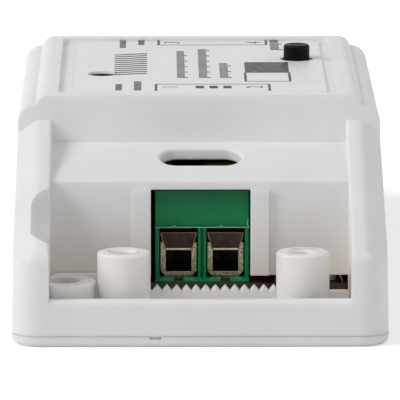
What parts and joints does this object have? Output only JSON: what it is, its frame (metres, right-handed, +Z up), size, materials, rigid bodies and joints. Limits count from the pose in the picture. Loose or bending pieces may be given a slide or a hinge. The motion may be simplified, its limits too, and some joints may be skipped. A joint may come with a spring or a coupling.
{
  "type": "smart relay module",
  "caption": "In-line relay switch in a white housing with a screw terminal at each end, one end cover off, a push button and a status lamp hole on top.",
  "frame": {"origin": "centre of the underside of the base", "axes": "+X across the module, +Y along it from the open input end to the covered output end, +Z up"},
  "size_m": [0.0396, 0.088, 0.0246],
  "materials": {
    "housing_plastic": "fine satin moulded white plastic",
    "base_plastic": "fine satin moulded white plastic",
    "cover_plastic": "fine satin moulded white plastic",
    "label_film": "printed white film",
    "terminal_plastic": "moulded green nylon",
    "clamp_steel": "plated steel with cut edges",
    "screw_steel": "plated steel",
    "contact_metal": "tinned and darkened copper alloy",
    "button_plastic": "satin black plastic",
    "switch_plastic": "black plastic",
    "switch_steel": "thin stamped steel",
    "board_laminate": "glass fibre laminate, brown at its edge",
    "relay_plastic": "blue moulded plastic",
    "relay_iron": "soft iron",
    "bobbin_plastic": "black nylon",
    "copper_winding": "enamelled copper wire",
    "lamp_lens": "tinted clear resin",
    "spacer_plastic": "black nylon",
    "resistor_body": "painted ceramic",
    "varistor_body": "blue resin coat over ceramic",
    "capacitor_sleeve": "shrunk dark sleeve",
    "film_capacitor_box": "yellow plastic box",
    "chip_plastic": "black moulding compound",
    "ferrite": "pressed ferrite",
    "winding_tape": "yellow tape over wire",
    "radio_laminate": "blue solder mask on laminate",
    "shield_steel": "tinned sheet steel"
  },
  "bodies": {
    "module": {"upper_housing": "housing_plastic", "base_plate": "base_plastic", "end_cover": "cover_plastic", "cover_screws": "screw_steel", "label": "label_film", "circuit_board": "board_laminate", "switch_base": "switch_plastic", "switch_frame": "switch_steel", "switch_dome": "switch_steel", "status_lamp": "lamp_lens", "lamp_spacer": "spacer_plastic", "lamp_legs": "screw_steel", "relay_base": "bobbin_plastic", "relay_case": "relay_plastic", "relay_yoke": "relay_iron", "relay_bobbin": "bobbin_plastic", "relay_coil": "copper_winding", "relay_core": "relay_iron", "open_contact": "contact_metal", "closed_contact": "contact_metal", "relay_pins": "contact_metal", "fuse_resistor": "resistor_body", "varistor": "varistor_body", "large_capacitor": "capacitor_sleeve", "small_capacitor": "capacitor_sleeve", "film_capacitor": "film_capacitor_box", "bridge_rectifier": "chip_plastic", "power_chip": "chip_plastic", "transformer_core": "ferrite", "transformer_bobbin": "bobbin_plastic", "transformer_winding": "winding_tape", "radio_board": "radio_laminate", "radio_header": "spacer_plastic", "radio_shield": "shield_steel", "input_terminal_housing": "terminal_plastic", "input_line_contact_bar": "contact_metal", "input_neutral_contact_bar": "contact_metal", "output_terminal_housing": "terminal_plastic", "output_line_contact_bar": "contact_metal", "output_neutral_contact_bar": "contact_metal"},
    "input_line_screw": {"input_line_clamp_screw": "screw_steel"},
    "input_line_cage": {"input_line_clamp_cage": "clamp_steel"},
    "input_neutral_screw": {"input_neutral_clamp_screw": "screw_steel"},
    "input_neutral_cage": {"input_neutral_clamp_cage": "clamp_steel"},
    "output_line_screw": {"output_line_clamp_screw": "screw_steel"},
    "output_line_cage": {"output_line_clamp_cage": "clamp_steel"},
    "output_neutral_screw": {"output_neutral_clamp_screw": "screw_steel"},
    "output_neutral_cage": {"output_neutral_clamp_cage": "clamp_steel"},
    "button": {"button_stem": "button_plastic"},
    "armature": {"relay_armature": "relay_iron", "moving_contact": "contact_metal"}
  },
  "joints": [
    {"name": "input_line_screw_turn", "type": "hinge", "parent": "module", "child": "input_line_screw", "pos_m": [-0.00222, -0.0255, 0.0126], "axis": [0, 0, -1], "range_deg": [0, 1440]},
    {"name": "input_line_cage_lift", "type": "slide", "parent": "module", "child": "input_line_cage", "axis": [0, 0, 1], "range_m": [0, 0.002]},
    {"name": "input_neutral_screw_turn", "type": "hinge", "parent": "module", "child": "input_neutral_screw", "pos_m": [0.00278, -0.0255, 0.0126], "axis": [0, 0, -1], "range_deg": [0, 1440]},
    {"name": "input_neutral_cage_lift", "type": "slide", "parent": "module", "child": "input_neutral_cage", "axis": [0, 0, 1], "range_m": [0, 0.002]},
    {"name": "output_line_screw_turn", "type": "hinge", "parent": "module", "child": "output_line_screw", "pos_m": [0.00222, 0.0255, 0.0126], "axis": [0, 0, -1], "range_deg": [0, 1440]},
    {"name": "output_line_cage_lift", "type": "slide", "parent": "module", "child": "output_line_cage", "axis": [0, 0, 1], "range_m": [0, 0.002]},
    {"name": "output_neutral_screw_turn", "type": "hinge", "parent": "module", "child": "output_neutral_screw", "pos_m": [-0.00278, 0.0255, 0.0126], "axis": [0, 0, -1], "range_deg": [0, 1440]},
    {"name": "output_neutral_cage_lift", "type": "slide", "parent": "module", "child": "output_neutral_cage", "axis": [0, 0, 1], "range_m": [0, 0.002]},
    {"name": "button_press", "type": "slide", "parent": "module", "child": "button", "axis": [0, 0, -1], "range_m": [0, 0.00025], "stiffness_N_per_m": 2000, "springref_m": -0.0002},
    {"name": "relay_pull", "type": "hinge", "parent": "module", "child": "armature", "pos_m": [-0.0134, 0.012, 0.01602], "axis": [0, 1, 0], "range_deg": [0, 2.4], "stiffness_Nm_per_rad": 0.05, "springref_deg": -1.15}
  ],
  "couplings": [
    {"joint": "input_line_screw_turn", "follows": "input_line_cage_lift", "rad_per_m": 12566},
    {"joint": "input_neutral_screw_turn", "follows": "input_neutral_cage_lift", "rad_per_m": 12566},
    {"joint": "output_line_screw_turn", "follows": "output_line_cage_lift", "rad_per_m": 12566},
    {"joint": "output_neutral_screw_turn", "follows": "output_neutral_cage_lift", "rad_per_m": 12566}
  ]
}
